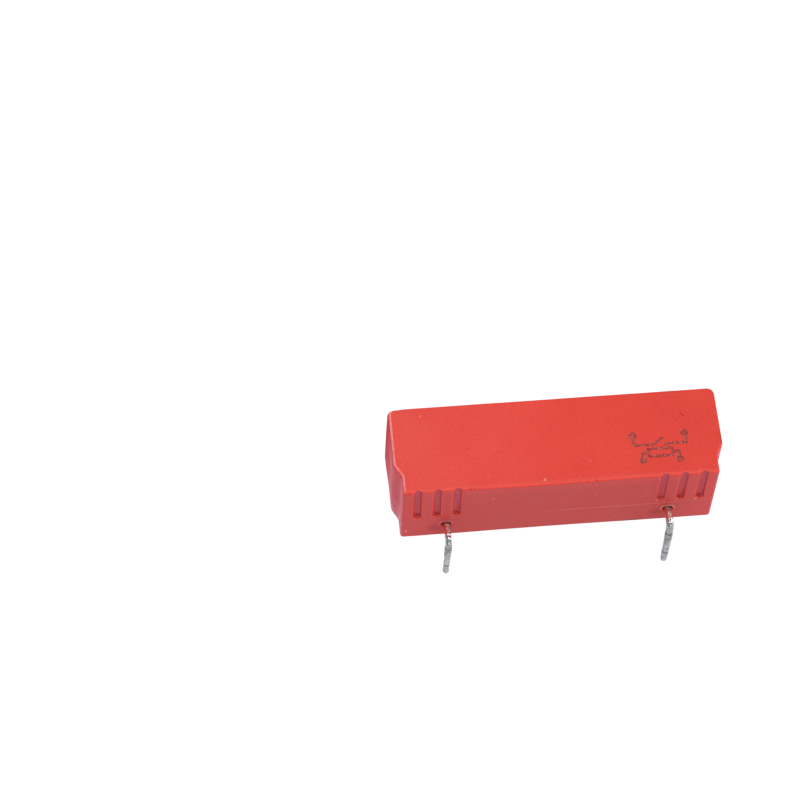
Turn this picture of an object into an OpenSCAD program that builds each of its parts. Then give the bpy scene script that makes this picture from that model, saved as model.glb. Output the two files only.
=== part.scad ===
// Sealed through-hole reed relay: a moulded box, open at its underside, that holds a coil and a
// glass reed switch in black potting resin. Four wire pins leave through the long walls and turn down.
// Millimetres. X runs along the length, -Y is the grooved front with the coil pins, +Z is up.
// The origin is the centre of the pin pattern, on the seating plane at the rim.

/* [Housing] */
// Length of the housing along its back
body_l = 29.95; // [29.6:0.05:31]
// Length between the end steps, along the front
front_l = 28.6; // [27.9:0.1:28.7]
// Depth of the housing, front face to back face
body_w = 8.85; // [8.7:0.05:9.2]
// Height from the rim to the marked face
body_h = 8.3; // [8.3:0.1:9.5]
// How far each side leans in at the marked face
draft = 0.08; // [0.05:0.01:0.25]
// Rounding along the marked face's edges
edge_r = 0.25; // [0.1:0.05:0.5]
// Rounding of the upright corners at the front
corner_r = 0.3; // [0.1:0.05:0.5]
// Rounding of the upright corners at the back
corner_b = 0.4; // [0.1:0.05:0.5]
// Wall thickness at the two ends
wall_end = 0.65; // [0.5:0.01:0.65]
// Wall thickness along the sides, by the pins
wall_pin = 1.04; // [0.9:0.02:1.1]
// Wall thickness along the sides, between the notches
wall_mid = 0.81; // [0.7:0.01:0.82]
// Thickness of the wall under the marked face
wall_top = 0.85; // [0.6:0.05:0.95]
// Where the end step begins, from the front face
step_from = 1.6; // [1.2:0.05:1.8]
// Where the end step has reached the full length, from the front face
step_to = 3.17; // [2.9:0.01:3.4]

/* [Front grooves] */
// Grooves in each group
groove_n = 3; // [1:1:3]
// Centre of the innermost groove, from the middle
groove_x = 9.3; // [9:0.05:9.5]
// Spacing of the grooves
groove_pitch = 1.78; // [1.2:0.01:1.8]
// Radius of a groove's section
groove_r = 0.4; // [0.25:0.01:0.42]
// Depth of a groove at the marked face
groove_d = 0.27; // [0.12:0.01:0.3]
// Height of a groove's lower end above the rim
groove_z = 3.4; // [3:0.1:5]

/* [Pins] */
// Spacing of the front (coil) pins, eight grid steps
coil_pitch = 20.32; // [20.3:0.01:20.34]
// Spacing of the back (switch) pins, eleven grid steps
switch_pitch = 27.94; // [27.9:0.01:27.96]
// Spacing of the two pin rows, five grid steps
row_pitch = 12.7; // [12.6:0.05:13]
// Front pin row to the front face
front_gap = 1.9; // [1.8:0.05:2]
// Diameter of the pin wire
pin_d = 0.59; // [0.5:0.01:0.62]
// Length of the pins below the rim
pin_below = 3.9; // [3:0.1:5]
// Height of the pins' horizontal run above the rim
pin_z = 1.9; // [1.8:0.05:2]
// Bend radius of the pins, at the wire's centre
bend_r = 0.6; // [0.5:0.05:0.8]
// Mouth diameter of the pin holes
mouth_d = 1.35; // [0.9:0.05:1.4]
// Degrees that the right coil pin's foot leans out
coil_lean = 6.3; // [0:0.1:8]

/* [Coil and switch] */
// Outer diameter of the winding
coil_d = 6.3; // [5:0.1:6.6]
// Centre of the bobbin's flanges, from the middle
flange_x = 7.12; // [7.1:0.01:7.2]
// Side of the square flanges
flange_s = 7; // [6.8:0.1:7]
// Outer diameter of the glass capsule
glass_d = 2.3; // [2.2:0.05:2.4]
// Length of the glass capsule
glass_l = 14.4; // [14.2:0.1:15]
// Thickness of a reed blade
blade_t = 0.2; // [0.15:0.01:0.22]
// Width of a reed blade
blade_w = 1.2; // [0.9:0.05:1.3]
// Gap between the open contacts
contact_gap = 0.1; // [0.06:0.01:0.15]
// Overlap of the two blades at the contact
contact_lap = 0.9; // [0.5:0.1:1.4]

/* [Resin] */
// Depth of the resin's surface below the rim
resin_depth = 0.12; // [0.1:0.01:0.2]

/* [Hidden] */
$fn = 48;

red = [0.83, 0.20, 0.16];
tin = [0.74, 0.73, 0.71];

y_front = front_gap - row_pitch / 2;      // front face at the rim
y_back = y_front + body_w;                // back face at the rim
y_mid = (y_front + y_back) / 2;           // the coil's axis
z_mid = 3.85;                             // the coil's axis above the rim
cav_top = body_h - wall_top;              // ceiling of the cavity
end_in = body_l / 2 - wall_end;           // inside of the end walls
step_in = front_l / 2 - wall_end;         // inside of the end walls, in front of the step
inner_step = 3.1;                         // inside step, from the front face
mid_x = 8.05;                             // half length of the thinner side walls
ledge = 0.08;                             // inner ledge below the rim
ledge_w = 0.72;                           // rim width beside the ledge
skin = 0.2;                               // wall left outside a notch
notch = [-0.78, 0.9];                     // notch, along X from the flange's centre
notch_h = 2.3;                            // notch depth
fl_t = 0.7;                               // flange thickness
lug_out = 0.65;                           // how far the lugs stand out from a flange
post_dx = 0.62;                           // winding post, along X from the flange's centre
post_dy = flange_s / 2 + 0.2;             // winding post, from the coil's axis
post_r = 0.18;
bead_r = 0.25;                            // solder-dipped end of a post
core_r = 1.75;                            // bobbin tube, outside
bore_r = 1.35;                            // bobbin tube, inside
pin_r = pin_d / 2;
lead_r = 0.25;                            // round lead of a reed
seal = 1.25;                              // length of the glass seals
hinge_x = glass_l / 2 - seal - 0.06;      // where a blade leaves its seal
lead_x = switch_pitch / 2 - pin_r - lead_r - 0.025;  // upright end of a reed's lead
lead_bend = 0.6;
link_y = y_mid - 2.95;                    // run of the coil links
link_r = 0.15;

// Points of an arc from angle a0 to a1
function arc(cx, cy, r, a0, a1, n = 5) =
    [for (i = [0:n]) let (a = a0 + (a1 - a0) * i / n) [cx + r * cos(a), cy + r * sin(a)]];

// Half of an S-shaped end step, t from 0 at the front to 1
function ogee(l1, l2, ya, yb, t) = [l2 / 2 + (l1 - l2) / 2 * (1 - cos(180 * t)) / 2, ya + (yb - ya) * t];

// Plan outline with an S-shaped step near the front of each end
function outline(l1, l2, yf, yb, r, rb, ya, ys) = concat(
    arc(l2 / 2 - r, yf + r, r, -90, 0),
    [for (i = [0:10]) ogee(l1, l2, ya, ys, i / 10)],
    arc(l1 / 2 - rb, yb - rb, rb, 0, 90),
    arc(-l1 / 2 + rb, yb - rb, rb, 90, 180),
    [for (i = [10:-1:0]) let (p = ogee(l1, l2, ya, ys, i / 10)) [-p[0], p[1]]],
    arc(-l2 / 2 + r, yf + r, r, 180, 270));

// Upright section: sides lean in by the draft, top corners rounded
function section(a, b) = concat(
    [[a - draft / body_h, -1], [b + draft / body_h, -1]],
    arc(b - draft - edge_r, body_h - edge_r, edge_r, 0, 90),
    arc(a + draft + edge_r, body_h - edge_r, edge_r, 90, 180));

// Plan of the cavity
function cavity_plan(s = 1) =
    let (q = [[mid_x, y_front + wall_mid], [mid_x, y_front + wall_pin], [step_in, y_front + wall_pin],
              [step_in, y_front + inner_step], [end_in, y_front + inner_step], [end_in, y_back - wall_pin],
              [mid_x, y_back - wall_pin], [mid_x, y_back - wall_mid]])
    concat(q, [for (i = [len(q) - 1:-1:0]) [-q[i][0], q[i][1]]]);

module box(a, b) translate(a) cube(b - a);

// Straight wire from p to q
module rod(p, q, r) {
    d = q - p;
    translate(p) rotate([0, acos(d[2] / norm(d)), atan2(d[1], d[0])]) cylinder(h = norm(d), r = r);
}

module ball(p, r, a = 45) translate(p) rotate([0, 0, a]) sphere(r);
module along_x(x0, x1, y, z, r) translate([x0, y, z]) rotate([0, 90, 0]) cylinder(h = x1 - x0, r = r);
module along_y(y0, y1, x, z, r) translate([x, y1, z]) rotate([90, 0, 0]) cylinder(h = y1 - y0, r = r);

// The four notch pockets in the side walls, from z0 up
module notches(z0, grow = 0) for (s = [-1, 1]) {
    x = s * flange_x;
    box([x + notch[0], y_front + skin, z0], [x + notch[1], y_front + wall_mid + grow, notch_h]);
    box([x + notch[0], y_back - wall_mid - grow, z0], [x + notch[1], y_back - skin, notch_h]);
}

module shell() intersection() {
    linear_extrude(body_h) polygon(outline(body_l, front_l, y_front, y_back, corner_r, corner_b,
        y_front + step_from, y_front + step_to));
    rotate([90, 0, 90]) linear_extrude(body_l + 2, center = true) polygon(section(y_front, y_back));
    rotate([90, 0, 0]) linear_extrude(body_w * 4, center = true) polygon(section(-body_l / 2, body_l / 2));
}

module ledge_cut() translate([0, 0, -1]) linear_extrude(1 + ledge) difference() {
    polygon(outline(body_l - 2 * ledge_w + 0.1, front_l - 2 * ledge_w + 0.1, y_front + ledge_w, y_back - ledge_w, 0.12, 0.12,
        y_front + step_from + 0.2, y_front + step_to + 0.2));
    square([2 * mid_x, 30], center = true);
}

module groove(x) translate([x, y_front + draft + groove_d - groove_r, groove_z + groove_r]) {
    cylinder(h = body_h, r = groove_r);
    sphere(groove_r);
}

// Hole for a pin: a plain bore with a wide mouth outside
module pin_hole(x, side) {
    y = side < 0 ? y_front : y_back;
    translate([x, y, pin_z]) rotate([side < 0 ? -90 : 90, 0, 0]) {
        translate([0, 0, -0.2]) cylinder(h = 2, r = pin_r + 0.035);
        translate([0, 0, -0.3]) cylinder(h = 0.85, r1 = mouth_d / 2 + 0.3 * 0.62, r2 = mouth_d / 2 - 0.55 * 0.62);
    }
}

module housing() color(red) difference() {
    shell();
    translate([0, 0, -1]) linear_extrude(1 + cav_top) polygon(cavity_plan());
    ledge_cut();
    notches(-1, 0.1);
    for (s = [-1, 1], i = [0:groove_n - 1]) groove(s * (groove_x + i * groove_pitch));
    for (s = [-1, 1]) {
        pin_hole(s * coil_pitch / 2, -1);
        pin_hole(s * switch_pitch / 2, 1);
    }
}

// Wire pin: foot with a rounded tip, bend, and a run through the wall to y_in.
// A foot that leans out still crosses the seating plane at its place in the row.
module pin(x, side, y_in, lean = 0) color(tin) {
    rt = 0.17;
    top = pin_z - bend_r;
    rise = (top + bend_r * sin(lean)) / cos(lean);
    fall = (pin_below - rt - (pin_r - rt) * sin(lean)) / cos(lean) + rt;
    y0 = side * (row_pitch / 2 - bend_r * cos(lean) - rise * sin(lean));
    translate([x, side * row_pitch / 2, 0]) rotate([side * lean, 0, 0]) rotate_extrude() polygon(concat(
        [[0, -fall]], arc(pin_r - rt, -fall + rt, rt, -90, 0), [[pin_r, rise], [0, rise]]));
    translate([x, y0, top]) rotate([90, 0, 90]) rotate([0, 0, side < 0 ? 90 : lean])
        rotate_extrude(angle = 90 - lean) translate([bend_r, 0]) circle(pin_r);
    along_y(min(y0, y_in), max(y0, y_in), x, pin_z, pin_r);
}

module coil_pin(s) pin(s * coil_pitch / 2, -1, link_y + 0.7, s > 0 ? coil_lean : 0);
module switch_pin(s) pin(s * switch_pitch / 2, 1, y_mid - 0.4);

// Bobbin: tube, two square flanges, and on each flange two feet with a lug that rises into a notch
module bobbin() color(red) difference() {
    union() {
        along_x(-flange_x, flange_x, y_mid, z_mid, core_r);
        for (s = [-1, 1]) translate([s * flange_x, y_mid, 0]) {
            box([-fl_t / 2, -flange_s / 2, z_mid - flange_s / 2], [fl_t / 2, flange_s / 2, z_mid + flange_s / 2]);
            for (t = [-1, 1]) mirror([0, t < 0 ? 1 : 0, 0]) {
                box([-fl_t / 2, flange_s / 2 + 0.08, 0.06], [fl_t / 2, flange_s / 2 + lug_out, 1.35]);
                box([-fl_t / 2, flange_s / 2 - 0.1, 0.45], [fl_t / 2, flange_s / 2 + 0.2, 1.35]);
                box([-fl_t / 2, flange_s / 2 - 0.1, 0.75], [notch[1] - 0.04, flange_s / 2 + lug_out, 1.35]);
            }
        }
    }
    along_x(-20, 20, y_mid, z_mid, bore_r);
    for (s = [-1, 1]) {
        // slot for the coil's wire and link
        box([s * flange_x - 1, y_mid - flange_s / 2 - 1, 1.5], [s * flange_x + 1, y_mid - 2.65, 2.25]);
        for (t = [-1, 1]) translate([s * flange_x + post_dx, y_mid + t * post_dy, 0]) cylinder(h = 2, r = post_r);
    }
}

// Winding between the flanges, with its two wire ends
module coil_winding() color([0.72, 0.36, 0.16]) difference() {
    union() {
        along_x(-flange_x + fl_t / 2, flange_x - fl_t / 2, y_mid, z_mid, coil_d / 2);
        for (s = [-1, 1]) rod([s < 0 ? -flange_x + post_dx : flange_x - 0.5, y_mid - 2.4, 1.95],
            [s * flange_x + post_dx, y_mid - post_dy, 1.62], 0.05);
    }
    along_x(-20, 20, y_mid, z_mid, core_r);
    for (s = [-1, 1]) post(s, -1);
}

// Winding post: wire with a solder-dipped end at the notch
module post(s, t) translate([s * flange_x + post_dx, y_mid + t * post_dy, 0]) {
    translate([0, 0, 0.3]) cylinder(h = 1.8, r = post_r);
    translate([0, 0, 0.33]) sphere(bead_r);
}
module winding_post(s, t) color(tin) post(s, t);

// Link from a front winding post to its coil pin
module link(s) {
    x = s * flange_x + post_dx;
    x2 = s * coil_pitch / 2;
    along_y(y_mid - post_dy, link_y, x, pin_z, link_r);
    along_x(min(x, x2), max(x, x2), link_y, pin_z, link_r);
    ball([x, link_y, pin_z], link_r + 0.02, s < 0 ? 45 : 135);
}
module coil_link(s) color([0.8, 0.5, 0.3]) difference() {
    link(s);
    post(s, -1);
    coil_pin(s);
}

module coil_blob(s) ball([s * coil_pitch / 2, link_y, pin_z], 0.46, 33);
module coil_solder(s) color(tin) difference() {
    coil_blob(s);
    coil_pin(s);
    link(s);
}

// Profile turned about the X axis
module turned() translate([0, y_mid, z_mid]) rotate([0, 90, 0]) rotate_extrude() children();

module reed_lead(s) color([0.66, 0.64, 0.6]) mirror([s < 0 ? 1 : 0, 0, 0]) {
    along_x(hinge_x, lead_x - lead_bend, y_mid, z_mid, lead_r);
    translate([lead_x - lead_bend, y_mid, z_mid - lead_bend]) rotate([90, 0, 0])
        rotate_extrude(angle = 90) translate([lead_bend, 0]) circle(lead_r);
    translate([lead_x, y_mid, pin_z - 0.4]) cylinder(h = z_mid - lead_bend - pin_z + 0.4, r = lead_r);
}

module switch_blob(s) translate([s * (lead_x + 0.2), y_mid, pin_z]) rotate([0, 0, s < 0 ? 20 : 200])
    rotate_extrude() polygon([[0, -0.5], [0.44, -0.5], [0.6, -0.3], [0.6, 0.3], [0.44, 0.5], [0, 0.5]]);
module switch_solder(s) color(tin) difference() {
    switch_blob(s);
    switch_pin(s);
    reed_lead(s);
}

// Glass capsule: sealed tube with rounded ends
module glass_capsule() color([0.55, 0.72, 0.6, 0.5]) difference() {
    turned() polygon(concat([[0, -glass_l / 2]],
        arc(glass_d / 2 - 0.7, -glass_l / 2 + 0.7, 0.7, -90, 0), arc(glass_d / 2 - 0.7, glass_l / 2 - 0.7, 0.7, 0, 90),
        [[0, glass_l / 2]]));
    turned() polygon(concat([[0, -glass_l / 2 + seal]],
        arc(glass_d / 2 - 0.85, -glass_l / 2 + seal + 0.5, 0.5, -90, 0),
        arc(glass_d / 2 - 0.85, glass_l / 2 - seal - 0.5, 0.5, 0, 90), [[0, glass_l / 2 - seal]]));
    reed_lead(-1);
    reed_lead(1);
}

// Reed blade: the flattened free end of a reed, with a narrow root
module reed_blade(s) color([0.78, 0.76, 0.7]) translate([0, y_mid, z_mid])
    mirror([s > 0 ? 1 : 0, 0, 0]) mirror([0, 0, s > 0 ? 1 : 0])
    translate([0, 0, -contact_gap / 2 - blade_t]) linear_extrude(blade_t) polygon([
        [-hinge_x, -0.22], [-hinge_x + 0.5, -0.22], [-hinge_x + 1.1, -blade_w / 2],
        [contact_lap / 2 - 0.15, -blade_w / 2], [contact_lap / 2, -blade_w / 2 + 0.15],
        [contact_lap / 2, blade_w / 2 - 0.15], [contact_lap / 2 - 0.15, blade_w / 2],
        [-hinge_x + 1.1, blade_w / 2], [-hinge_x + 0.5, 0.22], [-hinge_x, 0.22]]);

// Everything that the resin flows round
module set_in_resin() {
    bobbin();
    coil_winding();
    turned() polygon(concat([[0, -glass_l / 2]],
        arc(glass_d / 2 - 0.7, -glass_l / 2 + 0.7, 0.7, -90, 0), arc(glass_d / 2 - 0.7, glass_l / 2 - 0.7, 0.7, 0, 90),
        [[0, glass_l / 2]]));
    for (s = [-1, 1]) {
        reed_lead(s);
        switch_pin(s);
        coil_pin(s);
        link(s);
        coil_blob(s);
        switch_blob(s);
        for (t = [-1, 1]) post(s, t);
    }
}

module potting_resin() color([0.07, 0.07, 0.08]) difference() {
    union() {
        translate([0, 0, resin_depth]) linear_extrude(cav_top - resin_depth) polygon(cavity_plan());
        notches(0.3, 0.1);
    }
    set_in_resin();
}

housing();
potting_resin();
bobbin();
coil_winding();
glass_capsule();
reed_blade(-1);  // reed_blade_left
reed_blade(1);  // reed_blade_right
reed_lead(-1);  // reed_lead_left
reed_lead(1);  // reed_lead_right
switch_pin(-1);  // switch_pin_left
switch_pin(1);  // switch_pin_right
coil_pin(-1);  // coil_pin_left
coil_pin(1);  // coil_pin_right
winding_post(-1, -1);  // winding_post_front_left
winding_post(1, -1);  // winding_post_front_right
winding_post(-1, 1);  // winding_post_back_left
winding_post(1, 1);  // winding_post_back_right
coil_link(-1);  // coil_link_left
coil_link(1);  // coil_link_right
coil_solder(-1);  // coil_solder_left
coil_solder(1);  // coil_solder_right
switch_solder(-1);  // switch_solder_left
switch_solder(1);  // switch_solder_right
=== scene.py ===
import math

import bpy
import numpy as np
from mathutils import Matrix, Vector


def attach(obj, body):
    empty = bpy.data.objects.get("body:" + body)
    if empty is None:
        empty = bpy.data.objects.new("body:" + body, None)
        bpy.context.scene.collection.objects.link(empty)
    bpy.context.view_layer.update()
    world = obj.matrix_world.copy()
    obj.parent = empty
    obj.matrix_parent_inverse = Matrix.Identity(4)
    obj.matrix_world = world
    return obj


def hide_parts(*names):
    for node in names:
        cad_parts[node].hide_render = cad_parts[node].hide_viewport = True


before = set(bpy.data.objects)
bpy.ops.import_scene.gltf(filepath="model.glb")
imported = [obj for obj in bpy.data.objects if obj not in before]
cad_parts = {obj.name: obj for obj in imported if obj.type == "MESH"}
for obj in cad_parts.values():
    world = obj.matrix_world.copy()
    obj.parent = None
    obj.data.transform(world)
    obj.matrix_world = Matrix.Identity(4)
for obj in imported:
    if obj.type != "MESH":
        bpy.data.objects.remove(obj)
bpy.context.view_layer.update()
MM = 0.001

# ---------------------------------------------------------------- sizes, in millimetres
YF, YB = -4.45, 4.40           # front and back faces at the rim
YM = (YF + YB) / 2
BODY_L, FRONT_L, BODY_H, DRAFT = 29.95, 28.6, 8.3, 0.08
STEP0, STEP1 = 1.6, 3.17       # end step, from the front face
END_IN, STEP_IN, INNER_STEP = 14.325, 13.65, 3.1
WALL_PIN, WALL_MID, MID_X, CAV_TOP = 1.04, 0.81, 8.05, 7.45
LEDGE, LEDGE_W = 0.08, 0.72
NOTCH = (-0.78, 0.9)
FLANGE_X = 7.12
GROOVE_X, GROOVE_STEP = 9.3, 1.78
GROOVES = [s * (GROOVE_X + GROOVE_STEP * i) for s in (-1, 1) for i in range(3)]
GROOVE_R, GROOVE_Y, GROOVE_Z = 0.40, YF + DRAFT + 0.27 - 0.40, (3.50, 3.62)
PIN_R, PIN_Z, PIN_LOW, BEND, COIL_LEAN = 0.295, 1.9, -3.9, 0.6, 6.3
COIL_X, SWITCH_X, ROW_Y = 10.16, 13.97, 6.35
RESIN_Z = 0.12


# ---------------------------------------------------------------- camera
def camera():
    cam = bpy.data.cameras.new("camera")
    cam.sensor_fit, cam.sensor_width, cam.lens = "HORIZONTAL", 36.0, 117.80903
    cam.clip_start, cam.clip_end = 0.01, 20.0
    ob = bpy.data.objects.new("camera", cam)
    right = Vector((0.99564821, -0.0907489, 0.02119609))
    up = Vector((0.06850933, 0.86695136, 0.49366164))
    back = Vector((-0.06317523, -0.4900612, 0.86939572))
    m = Matrix((right, up, back)).transposed().to_4x4()
    m.translation = Vector((-0.02854929, -0.11066041, 0.21386076))
    ob.matrix_world = m
    bpy.context.scene.collection.objects.link(ob)
    bpy.context.scene.camera = ob


camera()


# ---------------------------------------------------------------- node helpers
class Nodes:
    """A material's node tree, with short ways to write arithmetic and textures."""

    def __init__(self, name):
        self.mat = bpy.data.materials.new(name)
        self.mat.use_nodes = True
        self.t = self.mat.node_tree
        self.t.nodes.clear()
        self.out = self.t.nodes.new("ShaderNodeOutputMaterial")
        self.bsdf = self.t.nodes.new("ShaderNodeBsdfPrincipled")
        self.t.links.new(self.bsdf.outputs[0], self.out.inputs[0])
        co = self.t.nodes.new("ShaderNodeTexCoord")
        self.mm = self.vec("SCALE", co.outputs["Object"], scale=1000.0)
        sep = self.t.nodes.new("ShaderNodeSeparateXYZ")
        self.link(self.mm, sep.inputs[0])
        self.x, self.y, self.z = sep.outputs
        geo = self.t.nodes.new("ShaderNodeNewGeometry")
        nor = self.t.nodes.new("ShaderNodeSeparateXYZ")
        self.link(geo.outputs["Normal"], nor.inputs[0])
        self.nx, self.ny, self.nz = nor.outputs

    def link(self, a, b):
        if isinstance(a, (int, float)):
            b.default_value = a
        elif isinstance(a, tuple):
            b.default_value = a if len(a) == len(b.default_value) else (*a, 1.0)
        else:
            self.t.links.new(a, b)

    def math(self, op, a, b=0.0, c=0.0, clamp=False):
        n = self.t.nodes.new("ShaderNodeMath")
        n.operation, n.use_clamp = op, clamp
        for i, v in enumerate((a, b, c)):
            self.link(v, n.inputs[i])
        return n.outputs[0]

    def add(self, a, b): return self.math("ADD", a, b)
    def sub(self, a, b): return self.math("SUBTRACT", a, b)
    def mul(self, a, b): return self.math("MULTIPLY", a, b)
    def lo(self, a, b): return self.math("MINIMUM", a, b)
    def hi(self, a, b): return self.math("MAXIMUM", a, b)

    def vec(self, op, a, b=None, scale=None):
        n = self.t.nodes.new("ShaderNodeVectorMath")
        n.operation = op
        self.link(a, n.inputs[0])
        if b is not None:
            self.link(b, n.inputs[1])
        if scale is not None:
            n.inputs["Scale"].default_value = scale
        return n.outputs["Value"] if op in ("LENGTH", "DISTANCE", "DOT_PRODUCT") else n.outputs[0]

    def xyz(self, x, y, z):
        n = self.t.nodes.new("ShaderNodeCombineXYZ")
        for i, v in enumerate((x, y, z)):
            self.link(v, n.inputs[i])
        return n.outputs[0]

    def ramp(self, v, a, b, lo=0.0, hi=1.0, smooth=True):
        """lo below a, hi above b, smooth between."""
        n = self.t.nodes.new("ShaderNodeMapRange")
        n.interpolation_type = "SMOOTHSTEP" if smooth else "LINEAR"
        n.clamp = True
        for i, q in enumerate((v, a, b, lo, hi)):
            self.link(q, n.inputs[i])
        return n.outputs[0]

    def noise(self, scale, detail=2.0, rough=0.5, vec=None, distort=0.0, seed=0.0):
        """Noise with its cells about 1/scale millimetres wide."""
        n = self.t.nodes.new("ShaderNodeTexNoise")
        n.noise_dimensions = "4D"
        self.link(self.mm if vec is None else vec, n.inputs["Vector"])
        n.inputs["W"].default_value = seed
        n.inputs["Scale"].default_value = scale
        n.inputs["Detail"].default_value = detail
        n.inputs["Roughness"].default_value = rough
        n.inputs["Distortion"].default_value = distort
        return n.outputs[0]

    def voronoi(self, scale, feature="F1", vec=None, rand=1.0):
        n = self.t.nodes.new("ShaderNodeTexVoronoi")
        n.feature = feature
        self.link(self.mm if vec is None else vec, n.inputs["Vector"])
        n.inputs["Scale"].default_value = scale
        n.inputs["Randomness"].default_value = rand
        return n.outputs["Distance"], n.outputs["Color"]

    def mix(self, f, a, b):
        n = self.t.nodes.new("ShaderNodeMix")
        n.data_type = "RGBA"
        self.link(f, n.inputs[0])
        for v, s in ((a, n.inputs[6]), (b, n.inputs[7])):
            self.link((*v, 1.0) if isinstance(v, tuple) and len(v) == 3 else v, s)
        return n.outputs[2]

    def bump(self, height, dist, strength=1.0, normal=None):
        """Bump whose height input of 1 stands dist millimetres high."""
        n = self.t.nodes.new("ShaderNodeBump")
        n.inputs["Strength"].default_value = strength
        n.inputs["Distance"].default_value = dist * MM
        self.link(height, n.inputs["Height"])
        if normal is not None:
            self.link(normal, n.inputs["Normal"])
        return n.outputs[0]

    def set(self, **kw):
        for k, v in kw.items():
            s = self.bsdf.inputs[k.replace("_", " ")]
            self.link((*v, 1.0) if isinstance(v, tuple) and len(v) == 3 and s.type == "RGBA" else v, s)

    def segment(self, a, b):
        """Distance in the XY plane from the line a-b, in millimetres."""
        (ax, ay), (bx, by) = a, b
        dx, dy = bx - ax, by - ay
        l2 = dx * dx + dy * dy
        px, py = self.sub(self.x, ax), self.sub(self.y, ay)
        t = self.math("MULTIPLY_ADD", px, dx / l2, self.mul(py, dy / l2), clamp=True)
        qx, qy = self.math("MULTIPLY_ADD", t, -dx, px), self.math("MULTIPLY_ADD", t, -dy, py)
        return self.math("SQRT", self.math("MULTIPLY_ADD", qx, qx, self.mul(qy, qy)))

    def ring(self, c, r):
        px, py = self.sub(self.x, c[0]), self.sub(self.y, c[1])
        d = self.math("SQRT", self.math("MULTIPLY_ADD", px, px, self.mul(py, py)))
        return self.math("ABSOLUTE", self.sub(d, r))

    def spot(self, x, y, z=None, plane="xy"):
        """Distance from a point, in millimetres (in a plane if z is None)."""
        px, py = self.sub(self.x, x), self.sub(self.y if plane == "xy" else self.z, y)
        q = self.math("MULTIPLY_ADD", px, px, self.mul(py, py))
        if z is not None:
            pz = self.sub(self.z, z)
            q = self.math("MULTIPLY_ADD", pz, pz, q)
        return self.math("SQRT", q)


# ---------------------------------------------------------------- meshes
def make(name, verts, faces, mat, smooth=True, weighted=False):
    me = bpy.data.meshes.new(name)
    verts = np.asarray(verts, float) * MM
    faces = np.asarray(faces, np.int32)
    me.vertices.add(len(verts))
    me.vertices.foreach_set("co", verts.ravel())
    n, k = faces.shape
    me.loops.add(n * k)
    me.loops.foreach_set("vertex_index", faces.ravel())
    me.polygons.add(n)
    me.polygons.foreach_set("loop_start", np.arange(n, dtype=np.int32) * k)
    me.polygons.foreach_set("loop_total", np.full(n, k, np.int32))
    me.polygons.foreach_set("use_smooth", np.full(n, smooth))
    me.update(calc_edges=True)
    me.validate()
    me.materials.append(mat)
    ob = bpy.data.objects.new(name, me)
    bpy.context.scene.collection.objects.link(ob)
    if weighted:
        w = ob.modifiers.new("normals", "WEIGHTED_NORMAL")
        w.keep_sharp, w.weight = True, 50
    return ob


def arc(cx, cy, r, a0, a1, n=5):
    a = np.radians(np.linspace(a0, a1, n + 1))
    return [(cx + r * math.cos(t), cy + r * math.sin(t)) for t in a]


def ogee(l1, l2, ya, yb, t):
    return (l2 / 2 + (l1 - l2) / 2 * (1 - math.cos(math.pi * t)) / 2, ya + (yb - ya) * t)


def outline(l1, l2, yf, yb, r, rb, ya, ys, n=14):
    right = [ogee(l1, l2, ya, ys, i / n) for i in range(n + 1)]
    return np.array(
        arc(l2 / 2 - r, yf + r, r, -90, 0) + right + arc(l1 / 2 - rb, yb - rb, rb, 0, 90)
        + arc(-l1 / 2 + rb, yb - rb, rb, 90, 180) + [(-x, y) for x, y in right[::-1]]
        + arc(-l2 / 2 + r, yf + r, r, 180, 270))


def cavity_plan():
    q = [(MID_X, YF + WALL_MID), (MID_X, YF + WALL_PIN), (STEP_IN, YF + WALL_PIN), (STEP_IN, YF + INNER_STEP),
         (END_IN, YF + INNER_STEP), (END_IN, YB - WALL_PIN), (MID_X, YB - WALL_PIN), (MID_X, YB - WALL_MID)]
    return np.array(q + [(-x, y) for x, y in q[::-1]])


def poly_distance(px, py, poly):
    """Signed distance to a closed outline, negative inside."""
    d = np.full(px.shape, 1e9)
    inside = np.zeros(px.shape, bool)
    for (ax, ay), (bx, by) in zip(poly, np.roll(poly, -1, 0)):
        ex, ey = bx - ax, by - ay
        l2 = ex * ex + ey * ey
        if l2 < 1e-12:
            continue
        wx, wy = px - ax, py - ay
        t = np.clip((wx * ex + wy * ey) / l2, 0, 1)
        d = np.minimum(d, (wx - ex * t) ** 2 + (wy - ey * t) ** 2)
        if ay != by:
            hit = ((ay > py) != (by > py)) & (wx * (by - ay) < wy * (bx - ax) if by > ay else wx * (by - ay) > wy * (bx - ax))
            inside ^= hit
    return np.where(inside, -1, 1) * np.sqrt(d)


def meet(a, b, r):
    """Intersection of two solids with its edge rounded to r."""
    return np.minimum(-r, np.maximum(a, b)) + np.hypot(np.maximum(r + a, 0), np.maximum(r + b, 0))


def cut(a, b, r):
    return meet(a, -b, r)


def wave(seed, x, y, n=6, lo=0.3, hi=2.5):
    """Smooth random wave from -1 to 1 of a position, in millimetres."""
    rng = np.random.default_rng(seed)
    s, w = 0.0, 0.0
    for _ in range(n):
        k = rng.uniform(lo, hi)
        a = rng.uniform(0, 2 * math.pi)
        m = 1 / k ** 0.5
        s = s + m * np.sin(k * (np.cos(a) * x + np.sin(a) * y) + rng.uniform(0, 6.28))
        w += m
    return s / w


OUT = outline(BODY_L - 0.01, FRONT_L - 0.01, YF + 0.005, YB - 0.005, 0.3, 0.4, YF + STEP0, YF + STEP1)
CAV = cavity_plan()
LEDGE_PLAN = outline(BODY_L - 2 * LEDGE_W + 0.1, FRONT_L - 2 * LEDGE_W + 0.1, YF + LEDGE_W, YB - LEDGE_W, 0.12, 0.12,
                     YF + STEP0 + 0.2, YF + STEP1 + 0.2)


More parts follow.
